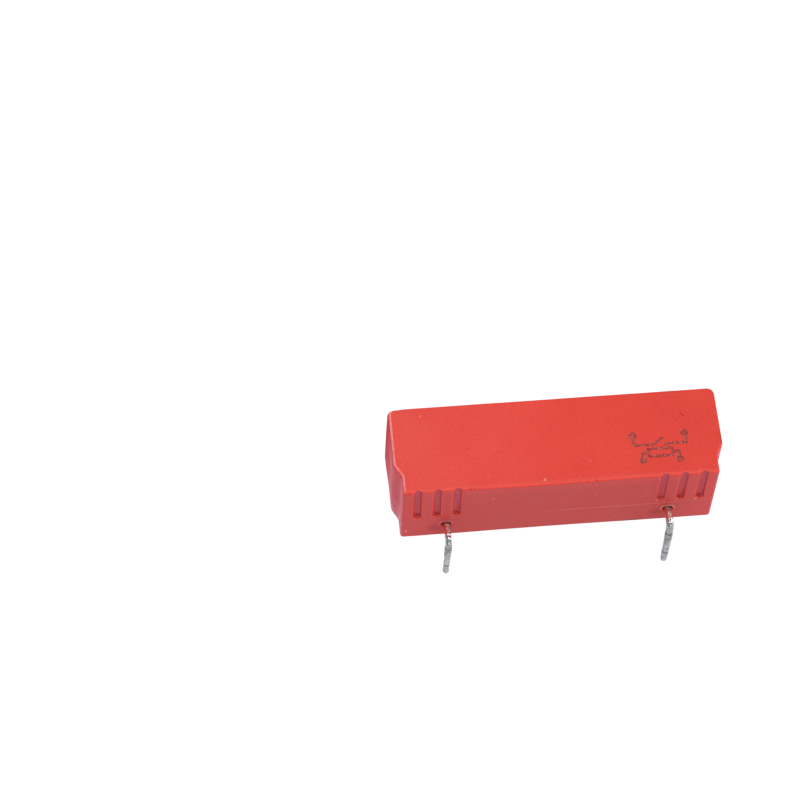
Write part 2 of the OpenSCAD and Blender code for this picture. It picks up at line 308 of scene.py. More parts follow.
def housing_field(x, y, z, plan=None):
    """Signed distance of the housing, nearly, with every edge rounded."""
    if plan is None:
        plan = (poly_distance(x, y, OUT), poly_distance(x, y, CAV), poly_distance(x, y, LEDGE_PLAN))
    d_out, d_cav, d_led = plan
    side = d_out + DRAFT / BODY_H * z
    # the back corners round off more towards the marked face
    rc = 0.4 + (0.3 + 0.05 * (x > 0)) * np.clip((z - 4.5) / 3.8, 0, 1)
    cx, cy = np.abs(x) - (BODY_L / 2 - 0.005 - rc), y - (YB - 0.005 - rc)
    side = np.where((cx > 0) & (cy > 0), np.maximum(side, np.hypot(cx, cy) - rc + DRAFT / BODY_H * z), side)
    # mould marks: the walls sink a little between their ends
    side = side + 0.012 * np.exp(-((x / 7.5) ** 4)) * np.exp(-(((z - 4.6) / 2.6) ** 4))
    # the front bulges a little under its upper edge
    side = side - 0.055 * np.exp(-(((x + 0.5) / 6.0) ** 4)) * np.clip((z - 5.5) / 2.5, 0, 1) * np.clip((YF + 1.0 - y) / 0.3, 0, 1)
    # the left end's rim is drawn in a little behind the step
    t = np.clip((3.2 - y) / 2.4, 0, 1) * np.clip((y + 2.2) / 1.0, 0, 1)
    side = side + 0.09 * t * t * (3 - 2 * t) * np.clip(1 - z / 8.3, 0, 1) * (x < 0)
    edge = 0.22 + 0.14 * np.clip((-x - 13.3) / 0.8, 0, 1) + 0.030 * wave(11, x, y, 8, 0.8, 4.0)
    body = meet(side, z - (BODY_H - 0.005), edge)
    flash = 0.012 * wave(5, x, y, 8, 0.6, 3.5) - 0.004
    bow = 0.085 * np.clip(1 - ((x + 0.5) / 8.0) ** 2, 0, 1) * np.clip((YF + 0.9 - y) / 0.3, 0, 1)
    body = meet(body, -z - np.minimum(flash, 0) * (d_out > -0.16) + bow, 0.05)
    # parting line on the front
    line = 3.1 + 0.02 * np.sin(x * 0.7)
    body = body - 0.014 * np.exp(-(((z - line) / 0.035) ** 2)) * (y < YF + 1) * (x > -1.0)
    body = cut(body, np.maximum(d_cav, z - CAV_TOP), 0.06)
    body = cut(body, np.maximum(np.maximum(d_led, z - LEDGE), MID_X - np.abs(x)), 0.035)
    for s in (-1, 1):
        cx, hw = s * FLANGE_X + sum(NOTCH) / 2, (NOTCH[1] - NOTCH[0]) / 2
        for yc, hy in ((YF + (0.2 + WALL_MID + 0.1) / 2, (WALL_MID + 0.1 - 0.2) / 2),
                       (YB - (0.2 + WALL_MID + 0.1) / 2, (WALL_MID + 0.1 - 0.2) / 2)):
            box = np.maximum(np.maximum(np.abs(x - cx) - hw, np.abs(y - yc) - hy), z - 2.3)
            body = cut(body, box, 0.05)
    for gx in GROOVES:
        g = meet(np.hypot(x - gx, y - GROOVE_Y) - GROOVE_R, GROOVE_Z[gx > 0] - z, 0.11)
        body = cut(body, g, 0.085)
    for s in (-1, 1):
        for hx, yy, n in ((s * COIL_X, YF, 1), (s * SWITCH_X, YB, -1)):
            r = np.hypot(x - hx, z - PIN_Z)
            depth = (y - yy) * n
            bore = np.maximum(r - PIN_R - 0.035, depth - 1.8)
            cone = np.maximum((np.hypot(x - hx, z - PIN_Z + 0.06) + 0.50 * depth - 0.575) / 1.118, depth - 0.48)
            body = cut(body, np.minimum(bore, cone), 0.05)
    return body


def ticks(*spans):
    """Grid coordinates from (end, step) spans: the first entry is the start."""
    out = [spans[0]]
    for end, step in spans[1:]:
        n = max(1, int(math.ceil((end - out[-1]) / step - 1e-9)))
        out += list(out[-1] + (end - out[-1]) * np.arange(1, n + 1) / n)
    return np.array(out)


def surface_net(field, xs, ys, zs, plan2):
    """Closed mesh of field = 0 on a grid of uneven steps, one point per crossed cell."""
    nx, ny, nz = len(xs), len(ys), len(zs)
    X, Y = np.meshgrid(xs, ys, indexing="ij")
    plan = plan2(X, Y)
    F = np.empty((nx, ny, nz), np.float32)
    for k, z in enumerate(zs):
        F[:, :, k] = field(X, Y, np.full_like(X, z), plan)
    neg = F < 0
    G = (xs, ys, zs)
    total = np.zeros((nx - 1, ny - 1, nz - 1, 3))
    count = np.zeros((nx - 1, ny - 1, nz - 1), np.int32)
    edges = []
    for ax in range(3):
        a = [slice(None)] * 3; b = [slice(None)] * 3
        a[ax], b[ax] = slice(0, -1), slice(1, None)
        cross = neg[tuple(a)] != neg[tuple(b)]
        idx = np.argwhere(cross)
        fa = F[tuple(a)][cross].astype(float); fb = F[tuple(b)][cross].astype(float)
        t = fa / (fa - fb)
        p = np.stack([G[i][idx[:, i]] for i in range(3)], 1)
        p[:, ax] += t * (G[ax][idx[:, ax] + 1] - G[ax][idx[:, ax]])
        o1, o2 = [q for q in range(3) if q != ax]
        for d1 in (0, 1):
            for d2 in (0, 1):
                c = idx.copy()
                c[:, o1] -= d1; c[:, o2] -= d2
                ok = (c[:, o1] >= 0) & (c[:, o2] >= 0) & (c[:, o1] < F.shape[o1] - 1) & (c[:, o2] < F.shape[o2] - 1)
                c = c[ok]
                np.add.at(total, (c[:, 0], c[:, 1], c[:, 2]), p[ok])
                np.add.at(count, (c[:, 0], c[:, 1], c[:, 2]), 1)
        edges.append((ax, o1, o2, idx, neg[tuple(a)][cross]))
    used = count > 0
    number = np.full(count.shape, -1, np.int64)
    number[used] = np.arange(used.sum())
    verts = total[used] / count[used][:, None]
    faces = []
    for ax, o1, o2, idx, start_in in edges:
        quad = []
        for d1, d2 in ((0, 0), (1, 0), (1, 1), (0, 1)):
            c = idx.copy()
            c[:, o1] -= d1; c[:, o2] -= d2
            quad.append(number[c[:, 0], c[:, 1], c[:, 2]])
        q = np.stack(quad, 1)
        flip = start_in if ax != 1 else ~start_in
        q[~flip] = q[~flip][:, ::-1]
        faces.append(q)
    return verts, np.concatenate(faces)


def settle(verts, field, rounds=3):
    """Moves points onto field = 0 along its slope."""
    v = verts.copy()
    e = 0.004
    for _ in range(rounds):
        x, y, z = v.T
        f = field(x, y, z)
        g = np.stack([field(x + e, y, z) - field(x - e, y, z), field(x, y + e, z) - field(x, y - e, z),
                      field(x, y, z + e) - field(x, y, z - e)], 1) / (2 * e)
        n2 = np.maximum((g * g).sum(1), 0.2)
        step = g * (f / n2)[:, None]
        size = np.linalg.norm(step, axis=1)
        v -= step * np.minimum(1, 0.05 / np.maximum(size, 1e-9))[:, None]
    return v


# ---------------------------------------------------------------- marking on the outer face
MARK_LINES = [
    ((6.87, -0.42), (6.89, -1.13)), ((6.89, -1.13), (8.66, -1.13)), ((8.66, -1.13), (9.49, -0.52)),
    ((9.66, -1.13), (11.61, -1.12)), ((11.61, -1.12), (11.59, -0.39)),
    ((8.08, -2.34), (10.25, -2.34)), ((10.25, -2.34), (10.25, -1.57)), ((10.25, -1.57), (8.08, -1.57)),
    ((8.08, -1.57), (8.08, -2.34)),
    ((8.08, -1.99), (7.51, -1.99)), ((7.51, -1.99), (7.51, -2.48)),
    ((10.25, -1.92), (10.82, -1.92)), ((10.82, -1.92), (10.84, -2.50)),
]
MARK_RINGS = [((6.86, -0.15), 0.24), ((11.53, -0.14), 0.24), ((7.51, -2.72), 0.22), ((10.84, -2.74), 0.22)]


# ---------------------------------------------------------------- materials
# flecks on the housing: x, y, z and radius in millimetres
PALE = [(-11.97, 3.40, 8.3, 0.05), (-1.54, -3.95, 8.3, 0.07), (-1.45, -3.84, 8.3, 0.045), (-6.08, -4.39, 6.21, 0.07),
        (3.29, -4.40, 5.53, 0.05), (5.46, -4.44, 0.92, 0.05), (12.51, -4.42, 3.41, 0.08), (-14.18, -4.42, 2.64, 0.08),
        (-13.84, -4.44, 1.15, 0.09), (-13.77, -4.44, 0.93, 0.07), (-14.16, -4.43, 1.87, 0.05), (8.0, -4.40, 4.98, 0.04),
        (-0.88, -4.43, 2.01, 0.035)]
DARK = [(-8.06, -0.32, 8.3, 0.045), (-5.20, -4.39, 6.56, 0.045), (-8.18, -4.33, 8.22, 0.06), (-7.86, -4.30, 8.24, 0.05),
        (1.58, -4.30, 8.24, 0.05), (2.23, -4.31, 8.24, 0.05), (3.12, -4.30, 8.24, 0.06), (-7.09, -4.45, 0.18, 0.07),
        (-2.67, -4.45, 0.31, 0.08),
        (-3.27, -4.41, 4.36, 0.035), (-12.84, -4.40, 5.04, 0.03)]
FLECK = ((11.52, 1.86), (11.74, 1.57))
# dark scrape along the right edge of the marked face
SCRAPE = [((14.72, -0.35), (14.77, -0.85)), ((14.77, -0.85), (14.775, -1.40))]
SCRATCHES = [((-12.80, -3.55), (-12.49, -2.70)), ((-12.49, -2.70), (-11.91, -1.92)), ((-11.91, -1.92), (-11.13, -1.33)),
             ((-13.98, 3.68), (-13.15, 2.84)), ((-13.15, 2.84), (-12.95, 1.54)), ((9.63, 1.02), (11.13, 0.85))]


def red_plastic(name, marked=False):
    n = Nodes(name)
    cloud = n.noise(0.22, 3, 0.55, seed=3)
    grain = n.noise(12, 3, 0.6, seed=9)
    col = n.mix(n.ramp(cloud, 0.3, 0.7), (0.765, 0.050, 0.031), (0.800, 0.058, 0.037))
    col = n.mix(n.mul(n.ramp(grain, 0.35, 0.75), 0.22), col, (0.66, 0.042, 0.028))
    # small pale and dark flecks in the plastic
    d, _ = n.voronoi(0.9)
    pale = n.mul(n.ramp(d, 0.030, 0.060, 1, 0), n.ramp(n.noise(0.9, 0, seed=21), 0.50, 0.54))
    col = n.mix(n.mul(pale, 0.50), col, (0.90, 0.40, 0.36))
    d2, _ = n.voronoi(0.7, vec=n.vec("ADD", n.mm, (31.0, 7.0, 3.0)))
    dark = n.mul(n.ramp(d2, 0.015, 0.035, 1, 0), n.ramp(n.noise(0.8, 0, seed=33), 0.55, 0.6))
    col = n.mix(n.mul(dark, 0.6), col, (0.14, 0.012, 0.012))
    rough = n.add(n.ramp(cloud, 0.3, 0.7, 0.40, 0.46), n.mul(grain, 0.10))
    height = n.add(n.mul(grain, 0.35), n.mul(n.noise(5, 2, 0.5, seed=4), 0.5))
    if marked:
        up = n.ramp(n.nz, 0.9, 0.99)
        front = n.ramp(n.ny, -0.75, -0.95)
        ends = n.mul(n.ramp(n.math("ABSOLUTE", n.nx), 0.55, 0.9), n.ramp(n.math("ABSOLUTE", n.x), 13.7, 13.9))
        face = n.sub(n.y, n.math("MULTIPLY_ADD", n.z, DRAFT / BODY_H, YF))
        # grooves: painted shade and highlights inside them, laid out by the distance from the nearest groove's axis
        t = n.mul(n.sub(n.math("ABSOLUTE", n.x), GROOVE_X), 1 / GROOVE_STEP)
        t = n.mul(n.math("ABSOLUTE", n.sub(t, n.math("ROUND", n.math("MINIMUM", n.math("MAXIMUM", t, 0.0), 2.0)))), GROOVE_STEP)
        # painted bluish sheen: every wall cooler and pinker than the marked face
        col = n.mix(n.mul(n.ramp(n.nz, 0.55, 0.25), 0.75), col, (0.780, 0.072, 0.074))
        # painted light on the front: lighter towards both ends and towards its upper edge
        front_painted_light = n.hi(n.ramp(n.x, -7.5, -14.0, 0.0, 0.42), n.ramp(n.x, 9.0, 14.6, 0.0, 0.62))
        front_painted_light = n.hi(front_painted_light, n.mul(n.ramp(n.z, 6.2, 8.2, 0.0, 0.50), n.ramp(n.math("ABSOLUTE", n.x), 2.0, 8.0, 0.7, 1.0)))
        col = n.mix(n.mul(front, front_painted_light), col, (0.975, 0.086, 0.092))
        # painted shade: the whole front a little darker
        col = n.mix(n.mul(front, 0.115), col, (0.0, 0.0, 0.0))
        # painted shade: the end faces a deeper, darker red, darkening further towards the back
        col = n.mix(n.mul(ends, 0.85), col, (0.680, 0.010, 0.014))
        col = n.mix(n.mul(ends, n.ramp(n.y, 0.5, 3.0, 0.0, 0.08)), col, (0.0, 0.0, 0.0))
        # painted shade inside the grooves: all but the right-facing walls a dim mauve with a painted bluish sheen, more
        # of it higher up, and the steepest left-facing walls darker still
        inner = n.mul(n.ramp(t, 0.42, 0.36), n.mul(n.ramp(face, 0.05, 0.13), n.ramp(face, 0.6, 0.5)))
        inner = n.mul(n.mul(inner, n.ramp(n.z, 3.45, 3.60)), n.ramp(n.nz, 0.6, 0.3))
        mott = n.ramp(n.noise(4.5, 3, 0.65, seed=19), 0.35, 0.65)
        col = n.mix(n.mul(n.mul(inner, n.ramp(n.nx, 0.55, -0.10)), n.ramp(n.z, 3.8, 6.8, 0.48, 0.66)), col,
                    n.mix(mott, (0.47, 0.040, 0.085), (0.60, 0.105, 0.165)))
        col = n.mix(n.mul(n.mul(inner, n.ramp(n.nx, -0.55, -0.85)), 0.75), col, (0.44, 0.010, 0.014))
        # painted shadow: dark at the back of each groove's lower end, more on its left-facing side
        corner = n.mul(n.mul(n.ramp(t, 0.42, 0.34), n.mul(n.ramp(face, 0.13, 0.19), n.ramp(face, 0.6, 0.5))), n.ramp(n.z, 3.92, 3.70))
        corner = n.mul(corner, n.ramp(n.sub(n.noise(3.0, 2, 0.6, seed=72), n.mul(n.nx, 0.45)), 0.25, 0.55, 0.25, 1.0))
        col = n.mix(n.mul(n.mul(corner, n.ramp(n.z, 3.40, 3.46)), 0.55), col, (0.24, 0.010, 0.016))
        # painted highlight: a bright orange line along the grooves' outer edges
        rim = n.mul(n.mul(n.ramp(t, 0.33, 0.38), n.ramp(t, 0.50, 0.43)), n.mul(n.ramp(face, 0.10, 0.05), n.ramp(n.z, 3.3, 3.45)))
        rim = n.mul(n.mul(rim, n.ramp(n.nz, 0.55, 0.25)), n.ramp(n.ny, -0.2, -0.5))
        col = n.mix(n.mul(rim, n.ramp(n.noise(2.5, 2, 0.6, seed=73), 0.3, 0.6, 0.25, 0.75)), col, (0.96, 0.085, 0.062))
        # painted glint: a pale highlight low in each groove, near its left wall, stronger in the right-hand group
        u = n.mul(n.sub(n.math("ABSOLUTE", n.x), GROOVE_X), 1 / GROOVE_STEP)
        u = n.mul(n.sub(u, n.math("ROUND", n.math("MINIMUM", n.math("MAXIMUM", u, 0.0), 2.0))), n.mul(n.math("SIGN", n.x), GROOVE_STEP))
        px, pz = n.add(u, 0.24), n.sub(n.z, n.ramp(n.x, -1.0, 1.0, 3.50, 3.60))
        glint = n.math("SQRT", n.math("MULTIPLY_ADD", px, px, n.mul(pz, pz)))
        glint = n.mul(n.ramp(n.add(glint, n.mul(n.noise(7, 2, 0.6, seed=75), 0.1)), 0.20, 0.08), n.mul(n.ramp(face, 0.25, 0.15), n.ramp(face, -0.1, -0.02)))
        col = n.mix(n.mul(glint, n.ramp(n.x, -9.0, -8.0, 0.30, 0.55)), col, (0.95, 0.42, 0.40))
        # the marked face: a painted pale sheen at its left, painted shade at its right
        col = n.mix(n.mul(up, n.ramp(n.x, -15.0, 4.0, 0.046, 0.014)), col, (0.80, 0.52, 0.53))
        col = n.mix(n.mul(up, n.ramp(n.x, -10.0, 15.0, 0.0, 0.06)), col, (0.0, 0.0, 0.0))
        # fine mottle of the moulded skin
        skin = n.noise(4.2, 3, 0.75, seed=71)
        col = n.mix(n.ramp(skin, 0.5, 0.8, 0.0, 0.10), col, (0.90, 0.22, 0.20))
        col = n.mix(n.ramp(skin, 0.5, 0.2, 0.0, 0.22), col, (0.50, 0.030, 0.030))
        fine = n.noise(6.5, 2, 0.65, seed=74)
        col = n.mix(n.ramp(fine, 0.52, 0.78, 0.0, 0.18), col, (0.92, 0.27, 0.25))
        col = n.mix(n.ramp(fine, 0.48, 0.22, 0.0, 0.28), col, (0.45, 0.026, 0.026))
        # parting line
        pl = n.ramp(n.math("ABSOLUTE", n.sub(n.z, n.add(3.1, n.mul(n.math("SINE", n.mul(n.x, 0.7)), 0.02)))), 0.03, 0.075, 1, 0)
        pl = n.mul(n.mul(pl, n.mul(front, n.ramp(n.x, 9.6, 10.9, 1.0, 0.30))), n.mul(n.ramp(n.x, -2.0, 1.0), n.ramp(n.noise(1.3, 2, seed=15), 0.35, 0.6, 0.25, 1.0)))
        col = n.mix(n.mul(pl, 0.5), col, (0.90, 0.33, 0.30))
        # end faces: pale dust with a painted bluish sheen, more towards the front and low down, and the narrow strip in
        # front of the step a little paler
        dust_sheen_noise = n.noise(0.9, 4, 0.62, seed=52)
        fine = n.ramp(n.noise(4.0, 3, 0.7, seed=55), 0.3, 0.7, 0.55, 1.25)
        dust_and_sheen = n.mul(n.mul(ends, n.ramp(n.y, 5.2, -0.8, 0.0, 0.30)), n.mul(fine, n.ramp(dust_sheen_noise, 0.3, 0.7, 0.7, 1.25)))
        col = n.mix(dust_and_sheen, col, (0.76, 0.25, 0.36))
        col = n.mix(n.mul(n.mul(ends, n.ramp(n.z, 3.4, 0.6)), n.ramp(dust_sheen_noise, 0.3, 0.65, 0.08, 0.42)), col, (0.84, 0.36, 0.41))
        strip = n.mul(ends, n.mul(n.ramp(n.y, YF + STEP0 + 0.35, YF + STEP0 - 0.1), n.ramp(n.nx, 0.0, -0.5)))
        col = n.mix(n.mul(strip, 0.10), col, (0.95, 0.34, 0.38))
        # painted highlights on the rounded edges of the marked face: a pale line along the left end, a bright orange
        # line along the front lip and a faint pale sheen just behind it
        edge = n.mul(n.ramp(n.nz, 0.25, 0.50), n.ramp(n.nz, 0.9995, 0.98))
        highlight_breakup = n.ramp(n.noise(1.7, 3, 0.6, seed=53), 0.3, 0.62, 0.35, 1.0)
        side = n.mul(n.mul(edge, n.ramp(n.nx, -0.05, -0.22)), highlight_breakup)
        side = n.mul(side, n.ramp(n.nz, 0.64, 0.84))
        col = n.mix(n.mul(side, 0.85), col, (1.0, 0.31, 0.30))
        lip_highlight = n.mul(edge, n.ramp(n.ny, -0.15, -0.40))
        col = n.mix(n.mul(lip_highlight, 0.58), col, (0.98, 0.092, 0.062))
        band_sheen = n.mul(n.mul(up, n.ramp(face, 0.48, 0.24)), highlight_breakup)
        col = n.mix(n.mul(band_sheen, n.ramp(n.x, -14.0, 10.0, 0.03, 0.055)), col, (0.95, 0.50, 0.48))
        # pin holes: painted shade inside, on the down-facing ceiling, deeper in and in a dark arc towards the left, and
        # a painted pale highlight on the upper lip
        for s in (-1, 1):
            for hx, yy, sg in ((s * COIL_X, YF + 0.018, 1), (s * SWITCH_X, YB - 0.018, -1)):
                r = n.spot(hx, PIN_Z - 0.06, plane="xz")
                depth = n.mul(n.sub(n.y, yy), sg)
                near = n.mul(n.ramp(r, 0.80, 0.70, 0, 1), n.ramp(depth, 2.2, 2.0))
                inside = n.mul(near, n.ramp(depth, 0.03, 0.10))
                deep = n.mul(n.ramp(depth, 0.26, 0.42), near)
                # painted shade on the down-facing ceiling and deeper in
                ceil = n.mul(inside, n.ramp(n.nz, 0.05, -0.35))
                col = n.mix(n.mul(ceil, 0.34), col, (0.26, 0.024, 0.090))
                col = n.mix(n.mul(deep, 0.38), col, (0.16, 0.016, 0.045))
                if sg > 0:
                    # painted shadow of the wire on the face, below and to its left
                    wire_shadow = n.mul(n.ramp(n.spot(hx - 1.05, PIN_Z - 0.42, plane="xz"), 0.95, 0.25), n.mul(front, n.ramp(r, 0.66, 0.78)))
                    col = n.mix(n.mul(wire_shadow, 0.42), col, (0.42, 0.020, 0.030))
                # painted shade: a dark arc deep in the hole, darkest towards the left
                arc = n.mul(n.mul(near, n.ramp(depth, 0.10, 0.26)), n.ramp(n.x, hx - 0.05, hx + 0.35, 0.80, 0.45))
                col = n.mix(arc, col, (0.12, 0.020, 0.075))
                # painted highlight: a pale line on the hole's upper lip
                ring = n.mul(n.ramp(n.math("ABSOLUTE", n.sub(r, 0.622)), 0.090, 0.050), n.ramp(depth, 0.12, 0.05))
                ring = n.mul(n.mul(ring, n.ramp(depth, -0.1, -0.04)), n.ramp(n.z, 1.7, 2.25, 0.0, 0.80 if hx > 0 else 0.40))
                col = n.mix(ring, col, (0.93, 0.60, 0.56))
        # single flecks, scuffs and fine scratches
        jig = n.mul(n.sub(n.noise(8, 2, 0.6, seed=60), 0.5), 0.09)
        for group, shade, amount in ((PALE, (0.93, 0.55, 0.50), 0.65), (DARK, (0.055, 0.010, 0.016), 0.85)):
            d = None
            for x, y, z, r in group:
                q = n.sub(n.spot(x, y, z), r)
                d = q if d is None else n.lo(d, q)
            col = n.mix(n.mul(n.ramp(n.add(d, jig), -0.03, 0.03, 1, 0), amount), col, shade)
        q = n.mul(n.ramp(n.add(n.segment(*FLECK), n.mul(jig, 0.5)), 0.025, 0.06, 1, 0), n.ramp(n.z, 8.2, 8.3))
        col = n.mix(n.mul(q, 0.75), col, (0.16, 0.015, 0.015))
        q = n.lo(n.segment(*SCRAPE[0]), n.segment(*SCRAPE[1]))
        q = n.mul(n.ramp(n.add(q, n.mul(jig, 0.5)), 0.02, 0.07, 1, 0), n.ramp(n.z, 8.0, 8.1))
        col = n.mix(n.mul(q, 0.62), col, (0.24, 0.026, 0.018))
        d = None
        for a, b in SCRATCHES:
            q = n.segment(a, b)
            d = q if d is None else n.lo(d, q)
        scr = n.mul(n.mul(n.ramp(d, 0.015, 0.05, 1, 0), up), n.ramp(n.noise(2.0, 2, seed=61), 0.35, 0.6))
        col = n.mix(n.mul(scr, 0.08), col, (0.95, 0.45, 0.40))
        stain = n.mul(n.mul(front, n.ramp(n.math("ABSOLUTE", n.sub(n.x, 7.1)), 0.5, 1.3, 1, 0)), n.ramp(n.z, 0.42, 0.2))
        col = n.mix(n.mul(stain, n.ramp(n.noise(3, 2, seed=62), 0.4, 0.6, 0.1, 0.75)), col, (0.12, 0.045, 0.09))
        # the wiring symbol, laser-etched: dark stipple with pale grains
        jitter = n.mul(n.sub(n.noise(8, 2, 0.7, seed=40), 0.5), 0.11)
        d = None
        for a, b in MARK_LINES:
            q = n.segment(a, b)
            d = q if d is None else n.lo(d, q)
        disc = None
        for c, r in MARK_RINGS:
            d = n.lo(d, n.ring(c, r))
            q = n.spot(*c)
            disc = q if disc is None else n.lo(disc, q)
        d = n.add(d, jitter)
        col = n.mix(n.mul(n.mul(n.ramp(disc, 0.25, 0.15), up), 0.45), col, (0.42, 0.055, 0.045))
        line = n.mul(n.mul(n.ramp(d, 0.095, 0.165, 1, 0), up), n.ramp(n.z, 8.2, 8.3))
        spk = n.noise(9.5, 2, 0.75, seed=41, distort=0.4)
        etched = n.mix(n.ramp(spk, 0.38, 0.56), (0.115, 0.022, 0.022), (0.40, 0.060, 0.050))
        etched = n.mix(n.ramp(n.noise(10.5, 1, 0.5, seed=47, distort=0.5), 0.57, 0.66), etched, (0.66, 0.27, 0.23))
        col = n.mix(n.mul(line, 0.90), col, etched)
        rough = n.add(rough, n.mul(line, 0.25))
        height = n.sub(height, n.mul(line, n.add(0.8, n.mul(spk, 2.5))))
        rough = n.add(rough, n.mul(ends, n.ramp(n.y, -0.3, 2.4, 0.08, 0.36)))
        rough = n.sub(rough, n.mul(n.mul(edge, n.ramp(n.nx, -0.05, -0.25)), 0.20))
    if marked:
        col = n.mix(0.08, col, (0.0, 0.0, 0.0))
    n.set(Base_Color=col, Roughness=rough, Normal=n.bump(height, 0.012))
    n.bsdf.inputs["Specular IOR Level"].default_value = 0.15
    return n.mat


# cured droplets on the resin: x, y, radius along X, radius along Y, height in millimetres
DROPS = [(7.57, -3.02, 0.45, 0.45, 0.055), (-6.72, -3.45, 0.42, 0.38, 0.055), (6.93, -3.30, 0.32, 0.26, 0.03),
         (10.79, -3.02, 0.62, 0.33, 0.02), (13.2, -3.36, 0.12, 0.10, 0.03), (12.4, -3.35, 0.13, 0.11, 0.03),
         (-13.36, -1.56, 0.15, 0.15, 0.04), (-14.2, 3.1, 0.08, 0.14, 0.02), (-14.2, 2.7, 0.07, 0.1, 0.02)]
DUST = [(5.04, -1.29, 0.075), (4.9, -1.27, 0.04), (12.68, -0.49, 0.05), (-9.2, -1.76, 0.045), (-1.85, -0.28, 0.04),
        (-2.1, 1.05, 0.04), (4.48, 2.82, 0.045), (7.0, -0.93, 0.03), (13.85, 2.5, 0.035), (-12.4, 1.1, 0.035),
        (-13.6, 2.2, 0.04), (-5.2, 0.9, 0.03)]


def resin():
    n = Nodes("resin")
    cloud = n.noise(0.6, 3, 0.6, seed=2)
    col = n.mix(n.ramp(cloud, 0.35, 0.7), (0.0075, 0.0072, 0.0095), (0.0125, 0.0118, 0.0155))
    d, _ = n.voronoi(1.3)
    speck = n.mul(n.ramp(d, 0.02, 0.04, 1, 0), n.ramp(n.noise(1.1, 0, seed=8), 0.52, 0.57))
    col = n.mix(n.mul(speck, 0.35), col, (0.25, 0.25, 0.27))
    down = n.ramp(n.z, 0.30, 0.22)
    # painted reflection: the droplets grey-blue, lighter on the higher and the smallest ones
    for x, y, rx, ry, h in DROPS:
        dx, dy = n.mul(n.sub(n.x, x), 1 / rx), n.mul(n.sub(n.y, y), 1 / ry)
        q = n.math("SQRT", n.math("MULTIPLY_ADD", dx, dx, n.mul(dy, dy)))
        q = n.add(q, n.mul(n.sub(n.noise(3.5, 2, seed=70), 0.5), 0.35))
        body = n.mul(n.ramp(q, 0.75, 1.08, 1, 0), down)
        shade = (0.125, 0.130, 0.175) if h > 0.035 or rx < 0.2 else (0.045, 0.047, 0.068)
        col = n.mix(n.mul(body, 0.8 if h > 0.025 else 0.6), col, shade)
    d = None
    for x, y, r in DUST:
        q = n.sub(n.spot(x, y), r)
        d = q if d is None else n.lo(d, q)
    d = n.add(d, n.mul(n.sub(n.noise(9, 2, seed=71), 0.5), 0.08))
    col = n.mix(n.mul(n.mul(n.ramp(d, -0.02, 0.02, 1, 0), down), 0.8), col, (0.45, 0.46, 0.48))
    scratch = n.noise(1.4, 2, 0.5, vec=n.vec("MULTIPLY", n.mm, (0.25, 2.6, 1.0)), seed=12)
    rough = n.add(n.ramp(cloud, 0.3, 0.75, 0.15, 0.26), n.mul(n.ramp(scratch, 0.55, 0.7), 0.12))
    n.set(Base_Color=col, Roughness=rough, Normal=n.bump(n.add(n.mul(cloud, 2.0), n.mul(scratch, 0.3)), 0.015))
    n.bsdf.inputs["Specular IOR Level"].default_value = 0.36
    return n.mat


